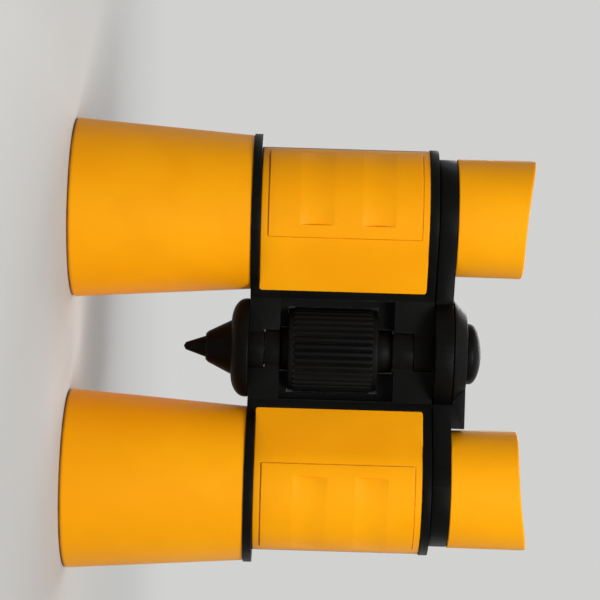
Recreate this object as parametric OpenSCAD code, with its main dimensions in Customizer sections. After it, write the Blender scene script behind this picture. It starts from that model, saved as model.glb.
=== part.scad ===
// Toy binoculars that stand on their objective rims.
// X runs across the two barrels, -Y is the focus wheel's side, +Z points up to the eyecups.
// Each barrel piece is drawn about its own barrel axis with the hinge towards +X.

/* [Objective tube] */
// Distance between the two barrel axes
barrel_spacing = 66; // [62:1:80]
// Length of the tube from its rim to the frame
objective_len = 43.5; // [38:0.5:54]
// Outer radius of the rim
rim_r = 21.8; // [21.2:0.1:24]
// Outer radius where the tube meets the frame
neck_r = 18.7; // [18:0.1:20]
// Wall of the tube
tube_wall = 2.2; // [1.6:0.1:2.8]
// Wall of the hood at the rim
hood_wall = 2.5; // [2:0.1:3]
// Depth of the hood in front of the lens cell
hood_depth = 9; // [6:0.5:12]
// Rounding of the rim's outer edge
rim_round = 1; // [0.4:0.1:1.4]
// Length of the spigot that plugs into the frame
spigot_len = 6; // [4:0.5:8]

/* [Objective lens] */
// Radius of the lens
lens_r = 16; // [14.5:0.1:16.4]
// Thickness of the lens at its edge
lens_edge = 2.5; // [2:0.1:3.5]
// Rise of the outer lens face
lens_front_rise = 2.2; // [1.2:0.1:2.4]
// Rise of the inner lens face
lens_back_rise = 1.4; // [0.8:0.1:2]
// Width of the ledge and of the retaining ring over the lens edge
lens_ledge = 1; // [0.6:0.1:1.4]
// Height of the retaining ring
lens_ring_h = 2.2; // [1.6:0.1:3]

/* [Frame] */
// Length of the frame along the barrel
frame_len = 44.5; // [40:0.5:56]
// Outer radius of the frame
frame_r = 16; // [15.4:0.1:17]
// Wall of the frame
frame_wall = 2.6; // [2.4:0.1:3]
// Thickness of the wall that guides the draw tube
end_wall = 4; // [3:0.5:6]
// Length of the plain band at each end of the frame
band_len = 2; // [1.8:0.1:3.5]
// How far the front band stands proud of the objective tube
band_proud = 0.4; // [0.2:0.1:1]
// How far the rear band stands proud of the grip panels
rear_band_proud = 0.3; // [0.1:0.1:0.6]

/* [Hinge] */
// Thickness of the hinge arms
arm_thick = 10.8; // [9:0.2:11.4]
// Length of the front hinge arm along the hinge
front_arm_len = 7.4; // [6:0.2:10]
// Length of the rear hinge arm along the hinge
rear_arm_len = 9.5; // [8:0.1:13]
// Radius of the hinge knuckles
knuckle_r = 6.8; // [6.6:0.1:7.6]
// Radius of the hollow hinge axle
axle_r = 4; // [3.8:0.1:4.4]
// Largest radius of the front hinge cap
cap_r = 12; // [10:0.1:13]
// Length of the front hinge cap
cap_len = 15.9; // [14:0.1:20]
// Length of the cap's spigot in the front knuckle
cap_spigot_len = 1.8; // [1.4:0.1:2.4]

/* [Grip panel] */
// Thickness of the panel
panel_t = 1.4; // [1.2:0.1:1.6]
// Angle that the panel wraps round the outer side of the barrel
panel_wrap = 80; // [60:1:84]
// Strip of frame between the panel and the hinge arms
panel_lip = 1.7; // [1.2:0.1:3]
// Corner radius of the panel beside the hinge
panel_corner = 0.8; // [0.4:0.1:4]
// Margin from the panel's ends to its raised pad
pad_margin = 2; // [1:0.1:4]
// Angle from the crown to the pad's edge on the hinge side
pad_edge = 22; // [18:0.5:24]
// Angle that the pad wraps round the outer side
pad_wrap = 64; // [40:1:66]
// Height of the pad above the panel
pad_h = 0.4; // [0.4:0.05:0.8]
// Angle of the finger scoops' ends from the crown towards the hinge
scoop_angle = 11; // [6:0.5:14]
// Width of a finger scoop at the pad's surface
scoop_w = 8; // [6:0.1:9]
// Depth of a finger scoop at its middle
scoop_depth = 0.35; // [0.2:0.05:0.35]
// Distance between the middles of the two scoops
scoop_pitch = 14.8; // [10:0.1:18]

/* [Focus wheel] */
// Radius of the wheel over its ribs
wheel_r = 10.2; // [9:0.1:11]
// Number of ribs round the wheel
rib_count = 36; // [24:1:44]
// Depth of the grooves between the ribs
groove_depth = 0.5; // [0.3:0.05:0.8]
// Width of the grooves
groove_w = 0.8; // [0.5:0.05:1]
// Length of the plain collar at each end of the wheel
collar_len = 1.4; // [0.8:0.1:2]
// How far the collars lie below the ribs
collar_drop = 0.3; // [0.1:0.05:0.6]
// Radius of the wheel's hub in the gaps beside the arms
hub_boss_r = 5.2; // [5:0.1:6]
// Gap between the wheel and the front hinge arm
wheel_front_gap = 2.1; // [1:0.1:3]
// Gap between the wheel and the rear hinge arm
wheel_rear_gap = 3.8; // [1:0.1:5]
// Gap between the wheel's ribs and the edge of its window
wheel_side_gap = 1.8; // [1:0.1:2.4]
// Thickness of the lip at the back of the window that closes it up to the wheel
window_lip = 6.6; // [6:0.1:8]

/* [Focus screw] */
// Travel of the eyepieces in one turn of the wheel
thread_lead = 6; // [4:0.5:8]
// Number of thread starts
thread_starts = 3; // [2:1:4]
// Radius of the thread's crests
thread_r = 2.6; // [2.4:0.05:2.7]
// Depth of the thread
thread_depth = 0.7; // [0.5:0.05:0.8]
// Length of the thread on the screw
thread_len = 30; // [24:1:36]
// Length of the thread in the axle
nut_len = 16; // [10:1:20]
// Radius of the screw's journal in the eyepiece arms
journal_r = 3; // [2.8:0.05:3.2]

/* [Eyepiece] */
// Thickness of the ring and plate of an eyepiece arm
yoke_t = 4.5; // [3:0.1:6]
// Outer radius of an eyepiece ring
yoke_ring_r = 14.1; // [13.2:0.1:14.6]
// Radius of the hub disc on the right arm
hub_r = 13; // [12:0.1:14]
// Height of the coned hub on the left arm
hub_cone_h = 3.2; // [2.4:0.1:4.5]
// How far the coned hub tapers in
hub_cone_taper = 3; // [1:0.1:4]
// Radius of the hub cap
hub_cap_r = 7.4; // [6:0.1:8.4]
// Height of the hub cap
hub_cap_h = 3.6; // [2.6:0.1:5]
// Outer radius of the draw tube
draw_r = 12; // [11.6:0.1:12.4]
// Wall of the draw tube
draw_wall = 1.5; // [1.2:0.1:1.8]
// Length of the draw tube below the eyepiece arm
draw_len = 22; // [16:0.5:26]
// Length of the draw tube above the eyepiece arm
draw_rise = 8; // [7:0.1:10]
// Thickness of the eyepiece lens at its edge
ocular_edge = 3; // [2.4:0.1:3.6]
// Thickness of the eyepiece lens at its middle
ocular_middle = 1.2; // [0.8:0.1:1.8]
// Height of the eyepiece lens's retaining ring
ocular_ring_h = 1.3; // [1:0.1:2]

/* [Eyecup] */
// Outer radius of the eyecup at its foot
cup_r = 14.3; // [13.6:0.1:15]
// Outer radius of the eyecup at its rim
cup_tip_r = 14.4; // [13.6:0.1:15]
// Radius of the eyecup's mouth
cup_mouth_r = 12.6; // [11.6:0.1:12.9]
// Length of the eyecup on the nose side
cup_len = 16.3; // [13:0.1:20]
// Extra height of the wing on the temple side
wing_rise = 3; // [1:0.1:5]
// Distance from the barrel axis to where the wing starts, on the nose side
wing_start = 8; // [2:0.5:12]
// Thickness of the inner lip that stops the eyecup on the draw tube
lip_t = 1; // [0.6:0.1:1.6]

/* [Clearances] */
// Radial running clearance of axles, journals and guides
run_gap = 0.05; // [0.03:0.01:0.09]
// Clearance between fixed pieces that plug together
fit_gap = 0.05; // [0.03:0.01:0.1]
// Clearance between pieces that swing or slide past each other
swing_gap = 0.3; // [0.25:0.05:0.4]
// Clearance between stacked hinge faces
face_gap = 0.2; // [0.15:0.05:0.3]
// Radial clearance of the focus thread
thread_gap = 0.25; // [0.2:0.01:0.3]

/* [Hidden] */
$fn = 96;
yellow = [0.98, 0.70, 0.08];
black = [0.09, 0.09, 0.10];
glass = [0.72, 0.82, 0.88, 0.55];
acetal = [0.82, 0.81, 0.77];
// Overshoot of cutters, and a reach beyond every piece
eps = 0.5;
reach = 200;

// Levels along the barrels
hinge_u = barrel_spacing / 2;
frame_z0 = objective_len;
frame_z1 = frame_z0 + frame_len;
window_z0 = frame_z0 + front_arm_len;
window_z1 = frame_z1 - rear_arm_len;
front_split = frame_z0 + front_arm_len / 2;
rear_split = frame_z1 - rear_arm_len / 2;
yoke_z0 = frame_z1 + face_gap;
yoke_z1 = yoke_z0 + yoke_t;
hub_z0 = yoke_z1 + face_gap;
hub_z1 = hub_z0 + hub_cone_h;
draw_z0 = yoke_z0 - draw_len;
draw_z1 = yoke_z1 + draw_rise;
cup_z0 = yoke_z1 + fit_gap;
cup_z1 = cup_z0 + cup_len;

// Frame and panel sections
bore_r = frame_r - frame_wall;
guide_r = draw_r + run_gap;
band_r = neck_r + band_proud;
arm_half = arm_thick / 2;
window_half = wheel_r + wheel_side_gap;
// Where the sloped web of the frame runs out into the arms
web_end = hinge_u - window_half - swing_gap;
// Slope of a straight flank that leaves a circle of radius r and reaches the arm at u
function flank_angle(r, u) = atan2(u, arm_half) - acos(r / norm([u, arm_half]));
web_angle = flank_angle(frame_r, web_end);
panel_edge = web_end - panel_lip;
panel_z0 = frame_z0 + band_len;
panel_z1 = frame_z1 - band_len;
panel_mid = (panel_z0 + panel_z1) / 2;
scoop_offset = 0.7;
scoop_mid = panel_mid + scoop_offset;
tab_w = 1;
tab_len = 5.2;

// Objective cell
hood_r = rim_r - hood_wall;
cell_r = lens_r + fit_gap;
clear_r = lens_r - lens_ledge;
ring_z0 = hood_depth + fit_gap;
ring_z1 = ring_z0 + lens_ring_h;
lens_seat_gap = 0.4;
lens_z0 = ring_z1 + lens_seat_gap;
lens_z1 = lens_z0 + lens_edge;
seat_z = lens_z1 + 2 * fit_gap;
ledge_t = 1.6;
neck_floor_t = 2.4;
spigot_wall = 1.8;
spigot_r = bore_r - fit_gap;

// Eyepiece cell
ocular_r = draw_r - draw_wall - fit_gap;
ocular_seat_z = draw_z1 - ocular_ring_h - ocular_edge - 2 * fit_gap;
ocular_ledge = 1.8;
ocular_floor_t = 1.5;
draw_collar_t = 2;
draw_collar_r = bore_r - 2 * run_gap;
lip_step = 0.4;
lip_r = ocular_r + lip_step;

// Focus drive
axle_z0 = frame_z0 + cap_spigot_len + face_gap;
shoulder_len = 1.7;
axle_z1 = frame_z1 - shoulder_len;
shoulder_r = axle_r - face_gap;
shoulder_sink = 0.8;
thread_relief = 0.2;
axle_bore_r = thread_r + thread_gap + thread_relief;
nut_z1 = window_z1;
nut_z0 = nut_z1 - nut_len;
flat_depth = 0.5;
wheel_z0 = window_z0 + wheel_front_gap;
wheel_z1 = window_z1 - wheel_rear_gap;
boss_z0 = window_z0 + face_gap;
boss_z1 = window_z1 - face_gap;
screw_top = hub_z1 + hub_cap_h / 2;

// Spans of the two frames' knuckles along the hinge
right_knuckles = [[frame_z0, front_split - face_gap / 2], [rear_split + face_gap / 2, frame_z1]];
left_knuckles = [[front_split + face_gap / 2, window_z0], [window_z1, rear_split - face_gap / 2]];

function arc(x, y, r, from, to, steps = 8) =
    [for (i = [0:steps]) let (a = from + (to - from) * i / steps) [x + r * cos(a), y + r * sin(a)]];

module on_right() {
    translate([-hinge_u, 0, 0]) children();
}

module on_left() {
    mirror([1, 0, 0]) on_right() children();
}

module at_hinge(z) {
    translate([hinge_u, 0, z]) children();
}

module lathe(points) {
    rotate_extrude() polygon(points);
}

// Flat section that runs from a ring of radius r to the hinge, with straight flanks
module web_section(r, end) {
    a = flank_angle(r, end);
    polygon([
        [0, 0],
        [r * sin(a), r * cos(a)],
        [end, arm_half],
        [hinge_u, arm_half],
        [hinge_u, -arm_half],
        [end, -arm_half],
        [r * sin(a), -r * cos(a)]
    ]);
}

// Outline of the barrel and its sloped web, drawn in by an inset
module barrel_section(inset, end) {
    r = frame_r - inset;
    far_v = (r - end * sin(web_angle)) / cos(web_angle);
    circle(r);
    polygon([
        [0, 0],
        [r * sin(web_angle), r * cos(web_angle)],
        [end, far_v],
        [end, -far_v],
        [r * sin(web_angle), -r * cos(web_angle)]
    ]);
}

// The panel's part of a skin between two insets, on the +Y side
module panel_section(outer_inset, inner_inset, grow) {
    wrap = panel_wrap + grow * 180 / (PI * frame_r);
    intersection() {
        difference() {
            barrel_section(outer_inset, web_end);
            barrel_section(inner_inset, web_end);
        }
        polygon([
            [0, 0],
            [-reach * sin(wrap), reach * cos(wrap)],
            [-reach, reach],
            [panel_edge + grow, reach],
            [panel_edge + grow, 0]
        ]);
    }
}

// The panel seen square on, with round corners beside the hinge
module panel_face(grow) {
    x1 = panel_edge + grow;
    z0 = panel_z0 - grow;
    z1 = panel_z1 + grow;
    translate([-reach, z0]) square([reach + x1 - panel_corner, z1 - z0]);
    translate([-reach, z0 + panel_corner]) square([reach + x1, z1 - z0 - 2 * panel_corner]);
    for (z = [z0 + panel_corner, z1 - panel_corner]) {
        translate([x1 - panel_corner, z]) circle(panel_corner);
    }
}

module panel_skin(outer_inset, inner_inset, grow) {
    intersection() {
        translate([0, 0, panel_z0 - grow]) linear_extrude(panel_z1 - panel_z0 + 2 * grow) {
            panel_section(outer_inset, inner_inset, grow);
        }
        translate([0, reach, 0]) rotate([90, 0, 0]) linear_extrude(reach) panel_face(grow);
    }
}

// Places at the ends of the panel's two finger scoops
module at_scoops() {
    for (side = [-1, 1]) {
        translate([0, 0, scoop_mid + side * scoop_pitch / 2]) rotate([0, 0, -scoop_angle]) children();
    }
}

// Snap tab behind the end of a scoop, from the panel to the frame's bore
module snap_tab(grow) {
    depth = frame_wall - panel_t;
    translate([-tab_w / 2 - grow, bore_r + fit_gap - grow, -tab_len / 2 - grow]) {
        cube([tab_w + 2 * grow, depth + 2 * grow, tab_len + 2 * grow]);
    }
}

// Raised pad on the round part of the panel
module pad() {
    translate([0, 0, panel_z0 + pad_margin]) linear_extrude(panel_z1 - panel_z0 - 2 * pad_margin) {
        intersection() {
            difference() {
                circle(frame_r + pad_h);
                circle(frame_r - panel_t / 2);
            }
            polygon([
                [0, 0],
                [-reach * sin(pad_wrap), reach * cos(pad_wrap)],
                [0, reach * 2],
                [reach * sin(pad_edge), reach * cos(pad_edge)]
            ]);
        }
    }
}

// Shallow round scoop for a finger, from its end wall out over the pad's outer edge
module finger_scoop() {
    sweep_r = (scoop_w * scoop_w / 4 + scoop_depth * scoop_depth) / (2 * scoop_depth);
    floor_r = frame_r + pad_h - scoop_depth;
    half = 0.55 * scoop_w;
    steps = 6;
    outline = [for (i = [-steps:steps]) let (z = half * i / steps)
        [floor_r + sweep_r - sqrt(sweep_r * sweep_r - z * z), z]];
    rotate([0, 0, 90]) rotate_extrude(angle = scoop_angle + pad_wrap + 1) {
        polygon(concat(outline, [[frame_r + 2 * pad_h, half], [frame_r + 2 * pad_h, -half]]));
    }
}

module grip_panel() {
    color(yellow) {
        panel_skin(0, panel_t, -fit_gap);
        difference() {
            pad();
            at_scoops() finger_scoop();
        }
        at_scoops() snap_tab(0);
    }
}

module frame(own, other) {
    color(black) difference() {
        union() {
            translate([0, 0, frame_z0]) {
                cylinder(h = frame_len, r = frame_r);
                cylinder(h = band_len, r = band_r);
                linear_extrude(frame_len) web_section(frame_r, web_end);
            }
            translate([0, 0, panel_z1]) cylinder(h = band_len, r = frame_r + rear_band_proud);
            for (span = own) {
                at_hinge(span[0]) cylinder(h = span[1] - span[0], r = knuckle_r);
            }
        }
        frame_cavity();
        for (span = other) {
            at_hinge(span[0] - face_gap) {
                cylinder(h = span[1] - span[0] + 2 * face_gap, r = knuckle_r + swing_gap);
            }
        }
        difference() {
            at_hinge(window_z0) translate([-window_half, -reach / 2, 0]) {
                cube([2 * window_half, reach, window_z1 - window_z0]);
            }
            window_lips();
        }
        at_hinge(frame_z0 - eps) cylinder(h = frame_len + 2 * eps, r = axle_r + run_gap);
        for (back = [0, 1]) {
            mirror([0, 1 - back, 0]) {
                panel_skin(-eps, panel_t + fit_gap, 0);
                at_scoops() snap_tab(fit_gap);
            }
        }
    }
}

// Lip at the back of the window that follows the wheel and its hub
module window_lips() {
    lip_in = hub_boss_r - swing_gap;
    at_hinge(window_z0) difference() {
        translate([-window_half - eps, arm_half - window_lip, -eps]) {
            cube([window_half + eps - lip_in, window_lip, window_z1 - window_z0 + 2 * eps]);
        }
        translate([0, 0, -2 * eps]) {
            cylinder(h = window_z1 - window_z0 + 4 * eps, r = hub_boss_r + swing_gap);
        }
        translate([0, 0, wheel_front_gap - face_gap]) {
            cylinder(h = wheel_z1 - wheel_z0 + 2 * face_gap, r = wheel_r + swing_gap);
        }
    }
}

// Bore of the frame, the guide for the draw tube and the hollow of the web
module frame_cavity() {
    hollow_z0 = frame_z0 + spigot_len + frame_wall;
    guide_z0 = frame_z1 - end_wall;
    translate([0, 0, frame_z0 - eps]) cylinder(h = frame_len - end_wall + eps, r = bore_r);
    translate([0, 0, guide_z0 - eps]) cylinder(h = end_wall + 2 * eps, r = guide_r);
    translate([0, 0, hollow_z0]) linear_extrude(guide_z0 - hollow_z0) {
        barrel_section(frame_wall, panel_edge);
    }
}

function tube_r(z) = rim_r + (neck_r - rim_r) * z / objective_len;

module objective_tube() {
    floor_z = objective_len - neck_floor_t;
    spigot_top = objective_len + spigot_len;
    back_z = seat_z + ledge_t;
    color(yellow) lathe(concat(
        [[hood_r, 0]],
        arc(rim_r - rim_round, rim_round, rim_round, -90, 0),
        [[neck_r, objective_len]],
        [[spigot_r, objective_len], [spigot_r, spigot_top]],
        [[spigot_r - spigot_wall, spigot_top], [spigot_r - spigot_wall, floor_z]],
        [[tube_r(floor_z) - tube_wall, floor_z], [tube_r(back_z) - tube_wall, back_z]],
        [[clear_r, back_z], [clear_r, seat_z], [cell_r, seat_z], [cell_r, hood_depth]],
        [[hood_r, hood_depth]]
    ));
}

function reversed(list) = [for (i = [len(list) - 1:-1:0]) list[i]];

// Points of a round lens face from its edge at (r, z) to its middle, which lies higher by rise
function lens_face(r, z, rise, steps = 10) =
    let (h = abs(rise), ball = (r * r + h * h) / (2 * h), half = asin(r / ball))
    [for (i = [0:steps]) let (a = half * (1 - i / steps))
        [ball * sin(a), z + sign(rise) * (ball * cos(a) - ball + h)]];

module objective_lens() {
    color(glass) lathe(concat(
        reversed(lens_face(lens_r, lens_z0, -lens_front_rise)),
        lens_face(lens_r, lens_z1, lens_back_rise)
    ));
}

// Threaded ring with two notches for a pin spanner
module retaining_ring(r, ledge, z0, h, notch_z) {
    notch_w = 1.6;
    notch_depth = 0.7;
    color(black) difference() {
        translate([0, 0, z0]) cylinder(h = h, r = r);
        translate([0, 0, z0 - eps]) cylinder(h = h + 2 * eps, r = r - ledge);
        translate([-reach / 2, -notch_w / 2, notch_z - notch_depth]) cube([reach, notch_w, 2 * notch_depth]);
    }
}

module objective_ring() {
    retaining_ring(lens_r, lens_ledge, ring_z0, lens_ring_h, ring_z0);
}

module draw_tube() {
    bore = draw_r - draw_wall;
    color(black) lathe([
        [bore, draw_z0],
        [draw_collar_r, draw_z0],
        [draw_collar_r, draw_z0 + draw_collar_t],
        [draw_r, draw_z0 + draw_collar_t],
        [draw_r, draw_z1],
        [bore, draw_z1],
        [bore, ocular_seat_z],
        [bore - ocular_ledge, ocular_seat_z],
        [bore - ocular_ledge, ocular_seat_z - ocular_floor_t],
        [bore, ocular_seat_z - ocular_floor_t]
    ]);
}

module eyepiece_lens() {
    dip = (ocular_edge - ocular_middle) / 2;
    z0 = ocular_seat_z + fit_gap;
    color(glass) lathe(concat(
        reversed(lens_face(ocular_r, z0, dip)),
        lens_face(ocular_r, z0 + ocular_edge, -dip)
    ));
}

module eyepiece_ring() {
    retaining_ring(ocular_r, ocular_ledge, draw_z1 - ocular_ring_h, ocular_ring_h, draw_z1);
}

module eyecup() {
    grip_r = draw_r + fit_gap;
    lip_z = draw_z1 + fit_gap;
    top = cup_z1 + wing_rise;
    span = cup_r + wing_start;
    sweep_r = (span * span + wing_rise * wing_rise) / (2 * wing_rise);
    color(yellow) difference() {
        lathe([
            [grip_r, cup_z0],
            [cup_r, cup_z0],
            [cup_tip_r, top],
            [cup_mouth_r, top],
            [lip_r, lip_z + lip_t],
            [lip_r, lip_z],
            [grip_r, lip_z]
        ]);
        translate([wing_start, 0, cup_z1 + sweep_r]) rotate([90, 0, 0]) {
            cylinder(h = reach, r = sweep_r, center = true, $fn = 360);
        }
    }
}

// Ring round the draw tube and plate to the hub, shared by both arms
module yoke_plate() {
    plate_end = hinge_u - hub_r - swing_gap;
    translate([0, 0, yoke_z0]) {
        cylinder(h = yoke_t, r = yoke_ring_r);
        linear_extrude(yoke_t) web_section(yoke_ring_r, plate_end);
    }
}

module yoke_bores() {
    translate([0, 0, yoke_z0 - eps]) cylinder(h = yoke_t + 2 * eps, r = draw_r + fit_gap);
    at_hinge(yoke_z0 - eps) cylinder(h = hub_z1 - yoke_z0 + 2 * eps, r = journal_r + run_gap);
}

module right_arm() {
    color(black) difference() {
        union() {
            yoke_plate();
            at_hinge(yoke_z0) cylinder(h = yoke_t, r = hub_r);
        }
        yoke_bores();
        at_hinge(yoke_z0 - eps) cylinder(h = shoulder_sink + eps, r = shoulder_r + fit_gap);
    }
}

// The left arm steps up over the right arm's hub disc
module left_arm() {
    link_u = cup_r + 2 * swing_gap;
    color(black) difference() {
        union() {
            yoke_plate();
            translate([link_u, -arm_half, yoke_z1 - eps]) {
                cube([hinge_u - link_u, arm_thick, hub_z1 - yoke_z1 + eps]);
            }
            at_hinge(hub_z0) cylinder(h = hub_cone_h, r1 = hub_r, r2 = hub_r - hub_cone_taper);
        }
        at_hinge(yoke_z0 - eps) cylinder(h = hub_z0 - yoke_z0 + eps, r = hub_r + swing_gap);
        yoke_bores();
    }
}

module focus_wheel() {
    collar_r = wheel_r - collar_drop;
    groove_r = (groove_w * groove_w / 4 + groove_depth * groove_depth) / (2 * groove_depth);
    color(black) difference() {
        union() {
            translate([0, 0, wheel_z0]) cylinder(h = wheel_z1 - wheel_z0, r = collar_r);
            translate([0, 0, boss_z0]) cylinder(h = boss_z1 - boss_z0, r = hub_boss_r);
            translate([0, 0, wheel_z0 + collar_len]) linear_extrude(wheel_z1 - wheel_z0 - 2 * collar_len) {
                difference() {
                    circle(wheel_r);
                    for (i = [0:rib_count - 1]) {
                        rotate(360 * i / rib_count) translate([wheel_r - groove_depth + groove_r, 0]) {
                            circle(groove_r, $fn = 24);
                        }
                    }
                }
            }
        }
        translate([0, 0, boss_z0 - eps]) axle_form(boss_z1 - boss_z0 + 2 * eps, fit_gap);
    }
}

// Axle with the flat that drives it, from the local origin up
module axle_form(h, grow) {
    intersection() {
        cylinder(h = h, r = axle_r + grow);
        translate([-reach / 2, -reach / 2, 0]) cube([reach, reach / 2 + axle_r - flat_depth + grow, h]);
    }
}

// Lobed bar twisted to a multi-start right-hand thread, in step with height
module thread(z0, h, grow) {
    points_per_start = 4;
    slices_per_turn = 16;
    steps = thread_starts * points_per_start;
    outer = thread_r + grow;
    inner = outer - thread_depth;
    turns = h / thread_lead;
    translate([0, 0, z0]) rotate(360 * z0 / thread_lead) {
        linear_extrude(h, twist = -360 * turns, slices = ceil(slices_per_turn * turns), segments = steps) {
            polygon([
                for (i = [0:steps - 1])
                let (r = (outer + inner) / 2 + (outer - inner) / 2 * cos(360 * i / points_per_start))
                [r * cos(360 * i / steps), r * sin(360 * i / steps)]
            ]);
        }
    }
}

module focus_axle() {
    color(acetal) difference() {
        union() {
            translate([0, 0, axle_z0]) cylinder(h = boss_z0 - axle_z0, r = axle_r);
            translate([0, 0, boss_z0 - eps]) axle_form(boss_z1 - boss_z0 + 2 * eps, 0);
            translate([0, 0, boss_z1]) cylinder(h = axle_z1 - boss_z1, r = axle_r);
        }
        translate([0, 0, axle_z0 - eps]) cylinder(h = nut_z0 - axle_z0 + eps, r = axle_bore_r);
        translate([0, 0, nut_z1]) cylinder(h = axle_z1 - nut_z1 + eps, r = axle_bore_r);
        thread(nut_z0 - eps, nut_len + 2 * eps, thread_gap);
    }
}

module focus_screw() {
    shoulder_z0 = axle_z1 + face_gap;
    shoulder_z1 = yoke_z0 + shoulder_sink - fit_gap;
    color(acetal) {
        thread(shoulder_z0 - thread_len, thread_len + eps, 0);
        translate([0, 0, shoulder_z0]) cylinder(h = shoulder_z1 - shoulder_z0, r = shoulder_r);
        translate([0, 0, shoulder_z0]) cylinder(h = screw_top - shoulder_z0, r = journal_r);
    }
}

// Stepped nose on the front knuckle: a dome, a cone and a point
module front_hinge_cap() {
    top = frame_z0 - swing_gap;
    dome_h = 3.5;
    cone_h = 6.2;
    step_r = 6.6;
    cone_tip_r = 3.8;
    point_r = 2.6;
    point_tip_r = 0.7;
    edge_h = 0.6;
    tip_z = top - cap_len;
    dome_z = top - edge_h - dome_h;
    color(black) lathe(concat(
        [[0, frame_z0 + cap_spigot_len], [axle_r, frame_z0 + cap_spigot_len], [axle_r, frame_z0]],
        [[knuckle_r - swing_gap, frame_z0], [knuckle_r - swing_gap, top], [cap_r, top]],
        [for (i = [0:8]) let (a = 90 * i / 8)
            [cap_r - (cap_r - step_r) * (1 - cos(a)), top - edge_h - dome_h * sin(a)]],
        [[cone_tip_r, dome_z - cone_h + edge_h], [cone_tip_r - edge_h, dome_z - cone_h]],
        [[point_r, dome_z - cone_h], [point_tip_r, tip_z + edge_h], [0, tip_z]]
    ));
}

// Domed button pressed on the top of the focus screw
module hub_cap() {
    z0 = hub_z1 + face_gap;
    edge_h = 0.8;
    dome_h = hub_cap_h - edge_h;
    socket_r = journal_r + fit_gap;
    socket_z = screw_top + fit_gap;
    color(black) lathe(concat(
        [[0, socket_z], [socket_r, socket_z], [socket_r, z0], [hub_cap_r, z0]],
        [for (i = [0:8]) let (a = 90 * i / 8)
            [hub_cap_r * cos(a), z0 + edge_h + dome_h * sin(a)]]
    ));
}

module right_frame() {
    on_right() frame(right_knuckles, left_knuckles);
}

module left_frame() {
    on_left() frame(left_knuckles, right_knuckles);
}

module right_front_panel() {
    on_right() mirror([0, 1, 0]) grip_panel();
}

module left_front_panel() {
    on_left() mirror([0, 1, 0]) grip_panel();
}

module right_back_panel() {
    on_right() grip_panel();
}

module left_back_panel() {
    on_left() grip_panel();
}

right_frame();
left_frame();
right_front_panel();
left_front_panel();
right_back_panel();
left_back_panel();
on_right() objective_tube();  // right_objective_tube
on_left() objective_tube();  // left_objective_tube
on_right() objective_lens();  // right_objective_lens
on_left() objective_lens();  // left_objective_lens
on_right() objective_ring();  // right_objective_ring
on_left() objective_ring();  // left_objective_ring
on_right() right_arm();  // right_eyepiece_arm
on_left() left_arm();  // left_eyepiece_arm
on_right() draw_tube();  // right_draw_tube
on_left() draw_tube();  // left_draw_tube
on_right() eyepiece_lens();  // right_eyepiece_lens
on_left() eyepiece_lens();  // left_eyepiece_lens
on_right() eyepiece_ring();  // right_eyepiece_ring
on_left() eyepiece_ring();  // left_eyepiece_ring
on_right() eyecup();  // right_eyecup
on_left() eyecup();  // left_eyecup
focus_wheel();
focus_axle();
focus_screw();
front_hinge_cap();
hub_cap();
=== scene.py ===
import math

import bmesh
import bpy
from mathutils import Matrix, Vector


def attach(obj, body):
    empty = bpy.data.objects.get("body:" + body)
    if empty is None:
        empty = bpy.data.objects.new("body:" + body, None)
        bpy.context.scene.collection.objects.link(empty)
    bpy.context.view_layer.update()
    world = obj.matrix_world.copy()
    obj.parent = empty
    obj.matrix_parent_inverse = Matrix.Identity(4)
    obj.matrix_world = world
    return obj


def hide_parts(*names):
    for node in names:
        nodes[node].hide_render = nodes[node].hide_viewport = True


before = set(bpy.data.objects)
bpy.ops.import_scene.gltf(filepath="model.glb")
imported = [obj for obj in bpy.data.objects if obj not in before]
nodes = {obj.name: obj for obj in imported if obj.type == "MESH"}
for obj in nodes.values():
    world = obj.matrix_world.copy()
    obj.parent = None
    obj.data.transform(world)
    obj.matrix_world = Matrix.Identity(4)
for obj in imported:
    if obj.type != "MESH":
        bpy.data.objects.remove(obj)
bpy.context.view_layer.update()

MM = 0.001


# Camera
# The toy is seen square on from the focus wheel's side with its barrels level, so the camera looks
# along +Y and is rolled until the eyepieces point to the right, a little low.
def set_up_camera():
    focal_mm, sensor_mm = 142.0, 36.0
    place = Vector((-11.94, -577.0, 55.5)) * MM
    roll = math.radians(1.7)
    eyepiece_way, sky_way = Vector((0, 0, 1)), Vector((-1, 0, 0))
    right = eyepiece_way * math.cos(roll) + sky_way * math.sin(roll)
    up = sky_way * math.cos(roll) - eyepiece_way * math.sin(roll)
    lens = bpy.data.cameras.new("photo_camera")
    lens.lens = focal_mm
    lens.sensor_width = sensor_mm
    lens.clip_start, lens.clip_end = 0.01, 20.0
    camera = bpy.data.objects.new("photo_camera", lens)
    camera.matrix_world = Matrix((right, up, right.cross(up))).transposed().to_4x4()
    camera.location = place
    bpy.context.scene.collection.objects.link(camera)
    bpy.context.scene.camera = camera
    bpy.context.scene.view_settings.view_transform = "Standard"


set_up_camera()


# Studio
# A pale table top that runs out into a pale wall of the same tone, lit by large soft boxes: one high in
# front, one overhead, one behind and one behind to each side. The table keeps the toy's shadow.
BACKDROP = (0.64, 0.64, 0.63, 1.0)


def wire(tree, pairs):
    for out_socket, in_socket in pairs:
        tree.links.new(out_socket, in_socket)


def add_math(tree, operation, a, b=None, clamp=False):
    node = tree.nodes.new("ShaderNodeMath")
    node.operation = operation
    node.use_clamp = clamp
    for socket, value in zip(node.inputs, (a, b)):
        if value is None:
            continue
        if isinstance(value, (int, float)):
            socket.default_value = value
        else:
            tree.links.new(value, socket)
    return node.outputs[0]


def ramp(tree, value, start, end, low=0.0, high=1.0):
    node = tree.nodes.new("ShaderNodeMapRange")
    node.interpolation_type = "SMOOTHSTEP"
    node.inputs["From Min"].default_value = start
    node.inputs["From Max"].default_value = end
    node.inputs["To Min"].default_value = low
    node.inputs["To Max"].default_value = high
    tree.links.new(value, node.inputs["Value"])
    return node.outputs["Result"]


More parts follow.
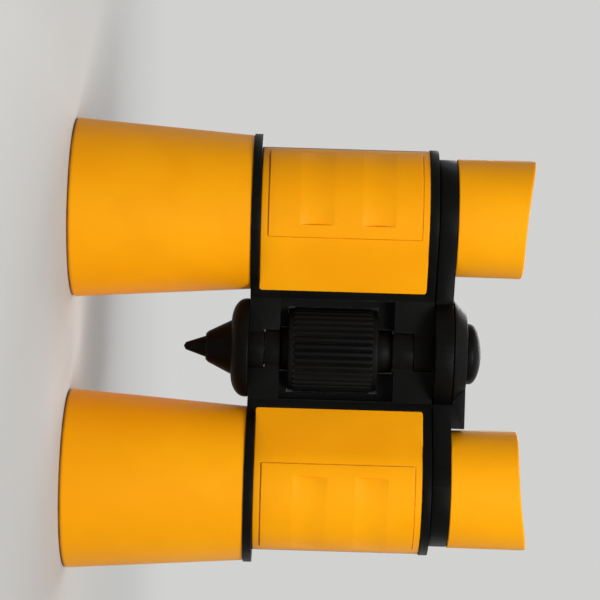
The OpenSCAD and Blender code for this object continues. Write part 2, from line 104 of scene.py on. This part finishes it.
def seen_directly(tree):
    path = tree.nodes.new("ShaderNodeLightPath")
    seen = add_math(tree, "MAXIMUM", path.outputs["Is Camera Ray"], path.outputs["Is Glossy Ray"])
    return add_math(tree, "MAXIMUM", seen, path.outputs["Is Transmission Ray"])


def light_the_room():
    world = bpy.data.worlds.new("studio")
    bpy.context.scene.world = world
    world.use_nodes = True
    tree = world.node_tree
    tree.nodes.clear()
    out = tree.nodes.new("ShaderNodeOutputWorld")
    wall = tree.nodes.new("ShaderNodeBackground")
    wall.inputs["Color"].default_value = BACKDROP
    wall.inputs["Strength"].default_value = 1.0
    fill = tree.nodes.new("ShaderNodeBackground")
    fill.inputs["Color"].default_value = (1.0, 1.0, 1.0, 1.0)
    fill.inputs["Strength"].default_value = 0.08
    mix = tree.nodes.new("ShaderNodeMixShader")
    wire(tree, [
        (seen_directly(tree), mix.inputs[0]),
        (fill.outputs[0], mix.inputs[1]),
        (wall.outputs[0], mix.inputs[2]),
        (mix.outputs[0], out.inputs["Surface"]),
    ])
    toy_middle = Vector((0, 0, 0.055))
    boxes = [
        ("key_box", (0.14, -0.68, 0.62), 0.42, 8.3),
        ("top_box", (-0.10, 0.10, 0.95), 0.70, 1.5),
        ("back_box", (-0.22, 0.86, 0.40), 0.50, 4.8),
        ("left_box", (-0.74, 0.54, 0.30), 0.50, 0.9),
        ("right_box", (0.74, 0.54, 0.30), 0.50, 0.9),
    ]
    for name, place, size, watts in boxes:
        lamp = bpy.data.lights.new(name, "AREA")
        lamp.size = size
        lamp.energy = watts
        holder = bpy.data.objects.new(name, lamp)
        holder.location = place
        aim = toy_middle - Vector(place)
        holder.rotation_mode = "QUATERNION"
        holder.rotation_quaternion = aim.to_track_quat("-Z", "Y")
        bpy.context.scene.collection.objects.link(holder)


def lay_the_table():
    half, painted_to, wall_from = 6.0, 0.14, 0.50
    mesh = bpy.data.meshes.new("table_top")
    corners = [(-half, -half, 0), (half, -half, 0), (half, half, 0), (-half, half, 0)]
    mesh.from_pydata(corners, [], [(0, 1, 2, 3)])
    table_top = bpy.data.objects.new("table_top", mesh)
    bpy.context.scene.collection.objects.link(table_top)
    paint = bpy.data.materials.new("table_paint")
    paint.use_nodes = True
    tree = paint.node_tree
    tree.nodes.clear()
    out = tree.nodes.new("ShaderNodeOutputMaterial")
    matt = tree.nodes.new("ShaderNodeBsdfPrincipled")
    matt.inputs["Base Color"].default_value = (0.50, 0.50, 0.49, 1.0)
    matt.inputs["Roughness"].default_value = 0.9
    matt.inputs["Specular IOR Level"].default_value = 0.1
    far = tree.nodes.new("ShaderNodeEmission")
    far.inputs["Color"].default_value = BACKDROP
    place = tree.nodes.new("ShaderNodeTexCoord")
    reach = tree.nodes.new("ShaderNodeVectorMath")
    reach.operation = "LENGTH"
    mix = tree.nodes.new("ShaderNodeMixShader")
    tree.links.new(place.outputs["Object"], reach.inputs[0])
    run_out = ramp(tree, reach.outputs["Value"], painted_to, wall_from)
    wire(tree, [
        (add_math(tree, "MULTIPLY", run_out, seen_directly(tree)), mix.inputs[0]),
        (matt.outputs[0], mix.inputs[1]),
        (far.outputs[0], mix.inputs[2]),
        (mix.outputs[0], out.inputs["Surface"]),
    ])
    mesh.materials.append(paint)


light_the_room()
lay_the_table()


# Frames
# Each barrel's black frame is one injection moulding in satin plastic: a sleeve, a band at each end and
# the hinge arms. The mould leaves its edges soft and its skin with a fine spark-eroded grain.
def new_group(name, inputs, outputs):
    group = bpy.data.node_groups.new(name, "ShaderNodeTree")
    for label, value in inputs:
        socket = group.interface.new_socket(name=label, in_out="INPUT", socket_type="NodeSocketFloat")
        socket.default_value = value
    for label in outputs:
        group.interface.new_socket(name=label, in_out="OUTPUT", socket_type="NodeSocketFloat")
    return group, group.nodes.new("NodeGroupInput"), group.nodes.new("NodeGroupOutput")


def noise(tree, vector, scale, detail=2.0, roughness=0.5):
    node = tree.nodes.new("ShaderNodeTexNoise")
    node.inputs["Detail"].default_value = detail
    node.inputs["Roughness"].default_value = roughness
    if isinstance(scale, (int, float)):
        node.inputs["Scale"].default_value = scale
    else:
        tree.links.new(scale, node.inputs["Scale"])
    tree.links.new(vector, node.inputs["Vector"])
    return node.outputs["Fac"]


def make_moulded_grain():
    group, given, put = new_group("moulded_grain", [("Grains per metre", 3000.0)], ["Grain", "Tone"])
    place = group.nodes.new("ShaderNodeTexCoord").outputs["Object"]
    grain = noise(group, place, given.outputs["Grains per metre"], detail=3.0, roughness=0.6)
    patches = noise(group, place, scale=45.0, detail=3.0)
    wire(group, [
        (grain, put.inputs["Grain"]),
        (ramp(group, patches, start=0.35, end=0.65), put.inputs["Tone"]),
    ])
    return group


def make_edge_wear():
    group, given, put = new_group("edge_wear", [("Width", 0.0006), ("Amount", 0.5)], ["Wear"])
    edge = group.nodes.new("ShaderNodeBevel")
    edge.samples = 4
    surface = group.nodes.new("ShaderNodeNewGeometry")
    turn = group.nodes.new("ShaderNodeVectorMath")
    turn.operation = "DOT_PRODUCT"
    place = group.nodes.new("ShaderNodeTexCoord").outputs["Object"]
    wire(group, [
        (given.outputs["Width"], edge.inputs["Radius"]),
        (edge.outputs["Normal"], turn.inputs[0]),
        (surface.outputs["Normal"], turn.inputs[1]),
    ])
    bent = ramp(group, turn.outputs["Value"], start=0.995, end=0.90)
    patches = noise(group, place, scale=160.0, detail=4.0, roughness=0.6)
    worn = add_math(group, "MULTIPLY", bent, ramp(group, patches, start=0.42, end=0.66))
    wear = add_math(group, "MULTIPLY", worn, given.outputs["Amount"], clamp=True)
    group.links.new(wear, put.inputs["Wear"])
    return group


def make_handling_scuffs():
    group, given, put = new_group("handling_scuffs", [("Amount", 0.5)], ["Scuff"])
    place = group.nodes.new("ShaderNodeTexCoord").outputs["Object"]
    strokes = ((0.5, (900, 60, 900)), (-0.9, (700, 800, 50)), (1.9, (60, 900, 800)))
    total = None
    for turn, stretch in strokes:
        lean = group.nodes.new("ShaderNodeMapping")
        lean.inputs["Rotation"].default_value = (turn, turn * 0.7, turn * 1.3)
        lean.inputs["Scale"].default_value = stretch
        group.links.new(place, lean.inputs["Vector"])
        line = ramp(group, noise(group, lean.outputs["Vector"], scale=1.0), start=0.68, end=0.78)
        total = line if total is None else add_math(group, "MAXIMUM", total, line)
    scuff = add_math(group, "MULTIPLY", total, given.outputs["Amount"], clamp=True)
    group.links.new(scuff, put.inputs["Scuff"])
    return group


# Painted shade mixed with grime: an ambient-occlusion mask darkens recesses, creases and joins between
# parts, broken into patches by noise.
def make_grime_and_painted_shade():
    group, given, put = new_group("grime_and_painted_shade", [("Reach", 0.0012), ("Amount", 0.5)], ["Grime"])
    shelter = group.nodes.new("ShaderNodeAmbientOcclusion")
    shelter.samples = 8
    place = group.nodes.new("ShaderNodeTexCoord").outputs["Object"]
    group.links.new(given.outputs["Reach"], shelter.inputs["Distance"])
    hidden = ramp(group, shelter.outputs["AO"], start=0.80, end=0.30)
    patches = noise(group, place, scale=220.0, detail=3.0)
    patchy = ramp(group, patches, start=0.25, end=0.60, low=0.55)
    patchy_painted_shade = add_math(group, "MULTIPLY", hidden, patchy)
    shade_and_grime = add_math(group, "MULTIPLY", patchy_painted_shade, given.outputs["Amount"], clamp=True)
    group.links.new(shade_and_grime, put.inputs["Grime"])
    return group


moulded_grain = make_moulded_grain()
edge_wear = make_edge_wear()
handling_scuffs = make_handling_scuffs()
grime_and_painted_shade = make_grime_and_painted_shade()


def blend_colours(tree, share, first, second):
    node = tree.nodes.new("ShaderNodeMix")
    node.data_type = "RGBA"
    share_socket, first_socket, second_socket = node.inputs[0], node.inputs[6], node.inputs[7]
    for socket, value in ((first_socket, first), (second_socket, second)):
        if isinstance(value, tuple):
            socket.default_value = value
        else:
            tree.links.new(value, socket)
    tree.links.new(share, share_socket)
    return node.outputs[2]


def place_group(tree, group, **values):
    node = tree.nodes.new("ShaderNodeGroup")
    node.node_tree = group
    for label, value in values.items():
        node.inputs[label.replace("_", " ")].default_value = value
    return node


def moulded_plastic(name, colour, shade, worn, shade_and_dirt_colour, roughness, grains, grain_depth,
                    wear, scuff, shade_and_grime, specular):
    finish = bpy.data.materials.new(name)
    finish.use_nodes = True
    tree = finish.node_tree
    shader = tree.nodes["Principled BSDF"]
    shader.inputs["Specular IOR Level"].default_value = specular
    grain = place_group(tree, moulded_grain, Grains_per_metre=grains)
    edge = place_group(tree, edge_wear, Amount=wear)
    rub = place_group(tree, handling_scuffs, Amount=scuff)
    shade_and_dirt = place_group(tree, grime_and_painted_shade, Amount=shade_and_grime)
    body = blend_colours(tree, grain.outputs["Tone"], colour, shade)
    marks = add_math(tree, "MAXIMUM", edge.outputs["Wear"], rub.outputs["Scuff"])
    rubbed = blend_colours(tree, marks, body, worn)
    low, high = roughness
    scuff_dulling = 0.12
    skin = ramp(tree, grain.outputs["Grain"], start=0.3, end=0.7, low=low, high=high)
    dulled = add_math(tree, "MULTIPLY", rub.outputs["Scuff"], scuff_dulling)
    bump = tree.nodes.new("ShaderNodeBump")
    bump.inputs["Strength"].default_value = 0.6
    bump.inputs["Distance"].default_value = grain_depth * MM
    wire(tree, [
        # Recesses and joins take the dark colour: painted shade, mixed with grime.
        (blend_colours(tree, shade_and_dirt.outputs["Grime"], rubbed, shade_and_dirt_colour), shader.inputs["Base Color"]),
        (add_math(tree, "ADD", skin, dulled, clamp=True), shader.inputs["Roughness"]),
        (grain.outputs["Grain"], bump.inputs["Height"]),
        (bump.outputs["Normal"], shader.inputs["Normal"]),
    ])
    return finish


def soften_edges(node, width):
    """Joins the node's split faces and rounds its edges, as a mould's cutter leaves them."""
    piece = nodes[node]
    weld = piece.modifiers.new("joined", "WELD")
    weld.merge_threshold = 0.002 * MM
    flat = piece.modifiers.new("flats", "DECIMATE")
    flat.decimate_type = "DISSOLVE"
    flat.angle_limit = math.radians(0.4)
    rounding = piece.modifiers.new("rounding", "BEVEL")
    rounding.width = width * MM
    rounding.segments = 3
    rounding.limit_method = "ANGLE"
    rounding.angle_limit = math.radians(32)
    rounding.harden_normals = True
    for face in piece.data.polygons:
        face.use_smooth = True


def finish_node(node, finish):
    piece = nodes[node]
    piece.data.materials.clear()
    piece.data.materials.append(finish)


black_plastic = moulded_plastic(
    "satin_black_plastic",
    colour=(0.0022, 0.0021, 0.0020, 1), shade=(0.0034, 0.0033, 0.0031, 1),
    # The last colour is painted shade in recesses, mixed with grime.
    worn=(0.022, 0.021, 0.020, 1), shade_and_dirt_colour=(0.0015, 0.0014, 0.0013, 1),
    roughness=(0.38, 0.52), grains=2600.0, grain_depth=0.03,
    wear=0.35, scuff=0.12, shade_and_grime=0.4, specular=0.055)
for node in ("right_frame", "left_frame"):
    soften_edges(node, width=0.45)
    finish_node(node, black_plastic)


# Objective tubes
# Each front tube is a tapered yellow moulding with a thick rounded rim and a recessed hood. Its back end
# plugs into the frame's sleeve, so only the taper, the rim and the hood show.
def rounded_profile(corners, closed=True, steps=6):
    """Corners are (radius, height, rounding). Gives the outline's points, with arcs at the corners."""
    edge_share, hold = 0.48, 0.02
    outline = []
    last = len(corners) - 1
    for i, (r, z, rounding) in enumerate(corners):
        corner = Vector((r, z))
        if rounding == 0 or (not closed and i in (0, last)):
            outline.append(corner)
            continue
        before = Vector(corners[i - 1][:2]) - corner
        after = Vector(corners[(i + 1) % len(corners)][:2]) - corner
        half = before.angle(after) / 2
        tangent = min(rounding / math.tan(half), edge_share * before.length, edge_share * after.length)
        radius = tangent * math.tan(half)
        before.normalize()
        after.normalize()
        middle = corner + (before + after).normalized() * (radius / math.sin(half))
        first = corner + before * tangent - middle
        swing = first.angle_signed(corner + after * tangent - middle)
        outline.append(corner + before * (tangent + hold))
        for k in range(steps + 1):
            turn = -swing * k / steps
            c, s = math.cos(turn), math.sin(turn)
            outline.append(middle + Vector((first.x * c - first.y * s, first.x * s + first.y * c)))
        outline.append(corner + after * (tangent + hold))
    return [(max(p.x, 0.0), p.y) for p in outline]


def piece_from(name, points, faces, sharp=40):
    mesh = bpy.data.meshes.new(name)
    mesh.from_pydata([Vector(p) * MM for p in points], [], faces)
    work = bmesh.new()
    work.from_mesh(mesh)
    bmesh.ops.remove_doubles(work, verts=work.verts, dist=0.001 * MM)
    bmesh.ops.recalc_face_normals(work, faces=work.faces)
    work.to_mesh(mesh)
    work.free()
    for face in mesh.polygons:
        face.use_smooth = True
    mesh.set_sharp_from_angle(angle=math.radians(sharp))
    piece = bpy.data.objects.new(name, mesh)
    bpy.context.scene.collection.objects.link(piece)
    return piece


def net_faces(rings, per_ring, wrap_rings, wrap_points):
    faces = []
    for i in range(rings if wrap_rings else rings - 1):
        for j in range(per_ring if wrap_points else per_ring - 1):
            a, b = i * per_ring, (i + 1) % rings * per_ring
            k = (j + 1) % per_ring
            faces.append((a + j, b + j, b + k, a + k))
    return faces


def turned(name, profile, axis_x, closed=True, count=144):
    points = []
    for i in range(count):
        a = 2 * math.pi * i / count
        points += [(axis_x + r * math.cos(a), r * math.sin(a), z) for r, z in profile]
    return piece_from(name, points, net_faces(count, len(profile), wrap_rings=True, wrap_points=closed))


def fit(piece, finish, body, slot, *stands_for):
    piece.data.materials.append(finish)
    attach(piece, body)
    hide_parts(*stands_for)


HALF_SPACING = 33.0
BARRELS = (("right", -HALF_SPACING), ("left", HALF_SPACING))
yellow_plastic = moulded_plastic(
    "yellow_plastic",
    colour=(0.93, 0.372, 0.0022, 1), shade=(0.89, 0.342, 0.0018, 1),
    # The last colour is painted shade in recesses, mixed with grime.
    worn=(0.94, 0.47, 0.04, 1), shade_and_dirt_colour=(0.11, 0.030, 0.001, 1),
    roughness=(0.40, 0.52), grains=1800.0, grain_depth=0.025,
    wear=0.3, scuff=0.06, shade_and_grime=0.6, specular=0.09)


def objective_tube_profile():
    length, rim_r, neck_r = 43.5, 21.8, 18.7
    hood_r, hood_depth, cell_r, clear_r = 19.3, 9.0, 16.05, 15.0
    seat_z, back_z, floor_z = 14.25, 15.85, 41.1
    spigot_r, spigot_wall, spigot_top = 13.35, 1.8, 49.5
    wall = 2.2

    def outer(z):
        return rim_r + (neck_r - rim_r) * z / length

    return rounded_profile([
        (hood_r, 0, 0.6), (rim_r, 0, 1.0), (neck_r, length, 0.2),
        (spigot_r, length, 0), (spigot_r, spigot_top, 0.3), (spigot_r - spigot_wall, spigot_top, 0.3),
        (spigot_r - spigot_wall, floor_z, 0), (outer(floor_z) - wall, floor_z, 0.3),
        (outer(back_z) - wall, back_z, 0.3), (clear_r, back_z, 0.2), (clear_r, seat_z, 0.2),
        (cell_r, seat_z, 0), (cell_r, hood_depth, 0.25), (hood_r, hood_depth, 0.4),
    ])


for side, axis_x in BARRELS:
    tube = turned(side + "_tube_moulding", objective_tube_profile(), axis_x)
    fit(tube, yellow_plastic, side + "_barrel", "yellow_plastic", side + "_objective_tube")


# Objective lenses and rings
# A clear moulded acrylic lens sits in each tube's cell behind a thin black ring with two spanner notches.
# The lens bulges on both faces and carries a few faint wipe marks.
def lens_profile(r, low_z, high_z, low_rise, high_rise, steps=20):
    """From the middle of the lower face out to the edge and back to the middle of the upper face."""
    def face(z, rise):
        ball = (r * r + rise * rise) / (2 * abs(rise))
        reach = math.asin(r / ball)
        lift = math.copysign(1, rise)
        turns = [reach * k / steps for k in range(steps + 1)]
        return [(ball * math.sin(a), z + rise - lift * ball * (1 - math.cos(a))) for a in turns]

    return face(low_z, low_rise) + face(high_z, high_rise)[::-1]


def clear_acrylic():
    finish = bpy.data.materials.new("clear_acrylic")
    finish.use_nodes = True
    tree = finish.node_tree
    shader = tree.nodes["Principled BSDF"]
    shader.inputs["Base Color"].default_value = (0.93, 0.97, 1.0, 1)
    shader.inputs["Transmission Weight"].default_value = 1.0
    shader.inputs["IOR"].default_value = 1.49
    rub = place_group(tree, handling_scuffs, Amount=0.4)
    dulled = ramp(tree, rub.outputs["Scuff"], start=0.0, end=1.0, low=0.015, high=0.22)
    tree.links.new(dulled, shader.inputs["Roughness"])
    return finish


acrylic = clear_acrylic()
front_lens_outline = lens_profile(r=16.0, low_z=11.65, high_z=14.15, low_rise=-2.2, high_rise=1.4)
for side, axis_x in BARRELS:
    lens = turned(side + "_front_lens", front_lens_outline, axis_x, closed=False)
    fit(lens, acrylic, side + "_barrel", "lens_glass", side + "_objective_lens")
    soften_edges(side + "_objective_ring", width=0.2)
    finish_node(side + "_objective_ring", black_plastic)


# Grip panels
# Yellow snap-in panels cover each frame, front and back. Each wraps the barrel and runs flat towards the
# hinge. Its round part carries a low raised pad, ringed by a fine groove, with two shallow finger scoops.
def panel_piece(name, axis_x, hinge_way, front):
    """Along the skin, s runs round the barrel towards the hinge and z along it. Depth runs inwards."""
    barrel_r, flank_turn, flank_len = 16.0, math.radians(33.79), 12.155
    flank_start = barrel_r * flank_turn
    gap, thick = 0.05, 1.35
    s_low = -barrel_r * math.radians(80) + gap
    s_high = flank_start + flank_len - gap
    z_low, z_high = 45.5 + gap, 86.0 - gap
    corner, edge_round = 0.8, 0.3
    pad_s = (-barrel_r * math.radians(64), barrel_r * math.radians(22))
    pad_z, pad_h, wall = (47.5, 84.0), 0.28, 0.1
    groove_w, groove_depth = 0.24, 0.14
    groove_s = (pad_s[0] - groove_w, pad_s[1] + groove_w)
    groove_z = (pad_z[0] - groove_w, pad_z[1] + groove_w)
    scoop_s, scoop_mids = barrel_r * math.radians(11), (59.05, 73.85)
    scoop_half, scoop_depth, scoop_wall = 4.0, 0.24, 0.14
    end_dip, dip_reach = 0.4, 2.0

    def on_skin(s):
        if s <= flank_start:
            a = s / barrel_r
            return barrel_r * math.sin(a), barrel_r * math.cos(a), math.sin(a), math.cos(a)
        c, d = math.cos(flank_turn), math.sin(flank_turn)
        return barrel_r * d + (s - flank_start) * c, barrel_r * c - (s - flank_start) * d, d, c

    def step(x, start, end):
        t = min(max((x - start) / (end - start), 0.0), 1.0)
        return t * t * (3 - 2 * t)

    def edge_drop(distance):
        d = min(max(distance, 0.0), edge_round)
        return edge_round - math.sqrt(edge_round ** 2 - (edge_round - d) ** 2)

    def inside(x, span):
        return step(x, span[0] - wall, span[0] + wall) * (1 - step(x, span[1] - wall, span[1] + wall))

    def depth(s, z, low, high):
        floor = scoop_depth + end_dip * math.exp(-abs(scoop_s - s) / dip_reach)
        bow = sum(max(0.0, 1 - ((z - mid) / scoop_half) ** 2) for mid in scoop_mids)
        height = pad_h - floor * bow * (1 - step(s, scoop_s - scoop_wall, scoop_s + scoop_wall))
        on_pad = inside(s, pad_s) * inside(z, pad_z)
        groove = groove_depth * (inside(s, groove_s) * inside(z, groove_z) - on_pad)
        rim = max(edge_drop(s - s_low), edge_drop(s_high - s), edge_drop(z - low), edge_drop(high - z))
        return rim + groove - height * on_pad

    def lines(low, high, pitch, walls):
        """Evenly spaced lines, closer at the rounded rim and across each wall."""
        rim_steps = (0.02, 0.06, 0.12, 0.2, 0.3, 0.36)
        wall_steps = (-1.3, -1, -0.75, -0.5, -0.25, 0, 0.25, 0.5, 0.75, 1, 1.3)
        wall_clear = 1.4
        count = round((high - low) / pitch)
        found = [low + (high - low) * k / count for k in range(count + 1)]
        for d in rim_steps:
            found += [low + d, high - d]
        kept = [x for x in found if all(abs(x - mid) > wall_clear * half for mid, half in walls)]
        return kept + [mid + half * k for mid, half in walls for k in wall_steps]

    def thinned(found, closest=0.004):
        found = sorted(found)
        return [x for i, x in enumerate(found) if i == 0 or x - found[i - 1] > closest]

    s_walls = [(mid, wall) for mid in pad_s + groove_s] + [(scoop_s, scoop_wall)]
    z_walls = [(mid, wall) for mid in pad_z + groove_z]
    corner_turns = [math.radians(a) for a in (10, 25, 40, 55, 70, 80)]
    corner_lines = [s_high - corner * (1 - math.sin(a)) for a in corner_turns]
    scoop_lines = [mid + scoop_half * k / 12 for mid in scoop_mids for k in range(-12, 13)]
    s_lines = thinned(lines(s_low, s_high, 0.6, s_walls) + corner_lines)
    z_lines = thinned(lines(z_low, z_high, 1.0, z_walls) + scoop_lines)
    points = []
    out_y = -1 if front else 1
    for s in s_lines:
        u, v, nu, nv = on_skin(s)
        over = max(0.0, s - (s_high - corner))
        shrink = corner - math.sqrt(max(0.0, corner ** 2 - over ** 2))
        low, high = z_low + shrink, z_high - shrink
        levels = [low + (z - z_low) * (high - low) / (z_high - z_low) for z in z_lines]
        ring = [(z, depth(s, z, low, high)) for z in levels]
        ring += [(z, thick) for z in levels[::-1]]
        points += [(axis_x + hinge_way * (u - nu * d), out_y * (v - nv * d), z) for z, d in ring]
    per_ring = 2 * len(z_lines)
    faces = net_faces(len(s_lines), per_ring, wrap_rings=False, wrap_points=True)
    for base in (0, (len(s_lines) - 1) * per_ring):
        for j in range(len(z_lines) - 1):
            k = per_ring - 1 - j
            faces.append((base + j, base + j + 1, base + k - 1, base + k))
    return piece_from(name, points, faces, sharp=50)


for side, axis_x in BARRELS:
    hinge_way = -math.copysign(1, axis_x)
    for face in ("front", "back"):
        panel = panel_piece(f"{side}_{face}_grip", axis_x, hinge_way, face == "front")
        fit(panel, yellow_plastic, side + "_barrel", "yellow_plastic", f"{side}_{face}_panel")


# Front hinge cap
# A stepped black nose closes the front of the hinge: a dome, a cone and a blunt point turned in one piece.
# Its spigot is pressed into the front knuckle.
def front_cap_profile():
    spigot_r, spigot_top, knuckle_face, neck_r = 4.0, 45.3, 43.5, 6.5
    dome_r, dome_top, dome_edge, dome_h = 12.0, 43.4, 0.8, 3.5
    step_r, steps = 6.6, 10
    cone_r, cone_z, ledge_r, ledge_z = 3.8, 33.5, 3.2, 32.9
    point_r, tip_r, tip_z, end_z = 2.6, 0.9, 28.0, 27.5
    dome = []
    for k in range(steps + 1):
        a = math.pi / 2 * k / steps
        r = dome_r - (dome_r - step_r) * (1 - math.cos(a))
        dome.append((r, dome_top - dome_edge - dome_h * math.sin(a), 0))
    return rounded_profile([
        (0, spigot_top, 0), (spigot_r, spigot_top, 0.3), (spigot_r, knuckle_face, 0),
        (neck_r, knuckle_face, 0), (neck_r, dome_top, 0), (dome_r, dome_top, 0.3), *dome,
        (cone_r, cone_z, 0.5), (ledge_r, ledge_z, 0.3), (point_r, ledge_z, 0.1),
        (tip_r, tip_z, 0.7), (0, end_z, 0),
    ], closed=False)


front_cap = turned("front_cap_nose", front_cap_profile(), 0.0, closed=False, count=96)
fit(front_cap, black_plastic, "right_barrel", "black_plastic", "front_hinge_cap")


# Focus wheel, axle and screw
# A ribbed black wheel is keyed to a hollow acetal axle, which is also the hinge pin. The axle's thread
# drives the focus screw, which carries both eyepieces.
def wheel_piece():
    """The profile's rows are (radius, height, share of the rib groove's depth)."""
    wheel_r, collar_r, boss_r, bore_r = 10.2, 9.9, 5.2, 4.05
    low, high, boss_low, boss_high = 52.82, 74.7, 50.92, 78.3
    rib_count, per_rib, groove, rib_crown = 36, 12, 0.62, 5
    chamfer, ribs_low = 0.2, low + 1.4
    collar_edge = ((1.6, 0), (0.62, 0.02), (0.3, 0.09), (0.09, 0.3), (0, 0.6))
    low_boss = [(bore_r, boss_low, 0), (boss_r - chamfer, boss_low, 0), (boss_r, boss_low + chamfer, 0)]
    low_end = [
        (boss_r, low, 0), *((collar_r - inset, low + rise, 0) for inset, rise in collar_edge),
        (collar_r, ribs_low - 0.05, 0), (collar_r, ribs_low, 0), (collar_r + 0.12, ribs_low + 0.06, 0.4),
        (wheel_r - 0.06, ribs_low + 0.22, 0.85), (wheel_r, ribs_low + 0.5, 1),
    ]
    high_end = [(r, low + high - z, share) for r, z, share in low_end[::-1]]
    high_boss = [(boss_r, boss_high - chamfer, 0), (boss_r - chamfer, boss_high, 0), (bore_r, boss_high, 0)]
    profile = low_boss + low_end + high_end + high_boss
    count = rib_count * per_rib
    points = []
    for i in range(count):
        a = 2 * math.pi * i / count
        cut = abs(math.cos(math.pi * i / per_rib)) ** rib_crown
        for r, z, share in profile:
            cut_r = r - groove * cut * share
            points.append((cut_r * math.cos(a), cut_r * math.sin(a), z))
    faces = net_faces(count, len(profile), wrap_rings=True, wrap_points=True)
    return piece_from("ribbed_wheel", points, faces, sharp=60)


wheel_black = moulded_plastic(
    "wheel_black",
    colour=(0.0022, 0.0022, 0.0022, 1), shade=(0.0034, 0.0033, 0.0032, 1),
    # The last colour is painted shade in recesses, mixed with grime.
    worn=(0.024, 0.023, 0.022, 1), shade_and_dirt_colour=(0.0015, 0.0015, 0.0015, 1),
    roughness=(0.44, 0.58), grains=3200.0, grain_depth=0.025,
    wear=0.3, scuff=0.05, shade_and_grime=0.6, specular=0.065)
fit(wheel_piece(), wheel_black, "focus_drive", "wheel_rubber", "focus_wheel")
acetal = moulded_plastic(
    "pale_acetal",
    # The last colour is painted shade in recesses, mixed with grime.
    colour=(0.62, 0.60, 0.55, 1), shade=(0.58, 0.56, 0.51, 1),
    worn=(0.70, 0.68, 0.63, 1), shade_and_dirt_colour=(0.30, 0.28, 0.24, 1),
    roughness=(0.30, 0.42), grains=2400.0, grain_depth=0.01,
    wear=0.1, scuff=0.1, shade_and_grime=0.4, specular=0.4)
for node in ("focus_axle", "focus_screw"):
    finish_node(node, acetal)


# Eyepiece arms and hub cap
# The two black arms meet in a hub over the hinge: the left one's cone lies on the right one's disc, and a
# domed button holds both on the focus screw. They lift both eyepieces together.
def hub_cap_profile():
    cap_r, foot_z, edge, dome_h = 7.4, 96.3, 0.8, 2.8
    socket_r, socket_z, steps = 3.05, 97.95, 14
    turns = [math.pi / 2 * k / steps for k in range(steps + 1)]
    dome = [(cap_r * math.cos(a), foot_z + edge + dome_h * math.sin(a), 0) for a in turns]
    return rounded_profile([
        (0, socket_z, 0), (socket_r, socket_z, 0), (socket_r, foot_z, 0.1), (cap_r, foot_z, 0.25), *dome,
    ], closed=False)


for side, _ in BARRELS:
    soften_edges(side + "_eyepiece_arm", width=0.4)
    finish_node(side + "_eyepiece_arm", black_plastic)
hub_button = turned("hub_button", hub_cap_profile(), 0.0, closed=False, count=96)
fit(hub_button, black_plastic, "right_eyepiece", "black_plastic", "hub_cap")


# Draw tubes and eyepiece lenses
# A black tube is pressed through each arm and slides in the frame's end wall. A hollow-ground acrylic lens
# sits in its top under a thin black ring.
eye_lens_outline = lens_profile(r=10.45, low_z=96.35, high_z=99.35, low_rise=0.9, high_rise=-0.9)
for side, axis_x in BARRELS:
    soften_edges(side + "_draw_tube", width=0.2)
    finish_node(side + "_draw_tube", black_plastic)
    soften_edges(side + "_eyepiece_ring", width=0.15)
    finish_node(side + "_eyepiece_ring", black_plastic)
    lens = turned(side + "_eye_lens", eye_lens_outline, axis_x, closed=False, count=96)
    fit(lens, acrylic, side + "_eyepiece", "lens_glass", side + "_eyepiece_lens")


# Eyecups
# A soft yellow rubber cup is stretched over the top of each draw tube. Its lip is rounded, and it rises to
# a low wing on the temple side that keeps out stray light.
def eyecup_piece(name, axis_x):
    foot_z, foot_r, tip_r, mouth_r = 92.75, 14.3, 14.4, 12.6
    grip_r, inner_lip_r, lip_z, lip_t = 12.05, 10.85, 100.75, 1.0
    nose_z, wing_rise, wing_start = 109.05, 3.0, 8.0
    lip_clear, longest_step, count = 0.5, 1.5, 160
    top_z = nose_z + wing_rise
    still_z = lip_z + lip_t + lip_clear
    span = foot_r + wing_start
    sweep_r = (span * span + wing_rise * wing_rise) / (2 * wing_rise)
    profile = rounded_profile([
        (grip_r, foot_z, 0.15), (foot_r, foot_z, 0.3), (tip_r, top_z, 0.7), (mouth_r, top_z, 0.6),
        (inner_lip_r, lip_z + lip_t, 0.3), (inner_lip_r, lip_z, 0.1), (grip_r, lip_z, 0),
    ])
    outline = []
    for i, (r, z) in enumerate(profile):
        outline.append((r, z))
        r2, z2 = profile[(i + 1) % len(profile)]
        parts = int(abs(z2 - z) // longest_step)
        outline += [(r + (r2 - r) * k / parts, z + (z2 - z) * k / parts) for k in range(1, parts)]
    hinge_way = -math.copysign(1, axis_x)
    points = []
    for i in range(count):
        a = 2 * math.pi * i / count
        for r, z in outline:
            u = r * math.cos(a)
            rim = nose_z + sweep_r - math.sqrt(sweep_r ** 2 - (u - wing_start) ** 2)
            if z > still_z:
                z = still_z + (z - still_z) * (rim - still_z) / (top_z - still_z)
            points.append((axis_x + hinge_way * u, r * math.sin(a), z))
    faces = net_faces(count, len(outline), wrap_rings=True, wrap_points=True)
    return piece_from(name, points, faces, sharp=60)


yellow_rubber = moulded_plastic(
    "yellow_rubber",
    colour=(0.94, 0.382, 0.0022, 1), shade=(0.90, 0.352, 0.0018, 1),
    # The last colour is painted shade in recesses, mixed with grime.
    worn=(0.94, 0.46, 0.03, 1), shade_and_dirt_colour=(0.40, 0.12, 0.001, 1),
    roughness=(0.52, 0.64), grains=2200.0, grain_depth=0.03,
    wear=0.15, scuff=0.04, shade_and_grime=0.5, specular=0.09)
for side, axis_x in BARRELS:
    cup = eyecup_piece(side + "_rubber_cup", axis_x)
    fit(cup, yellow_rubber, side + "_eyepiece", "yellow_rubber", side + "_eyecup")
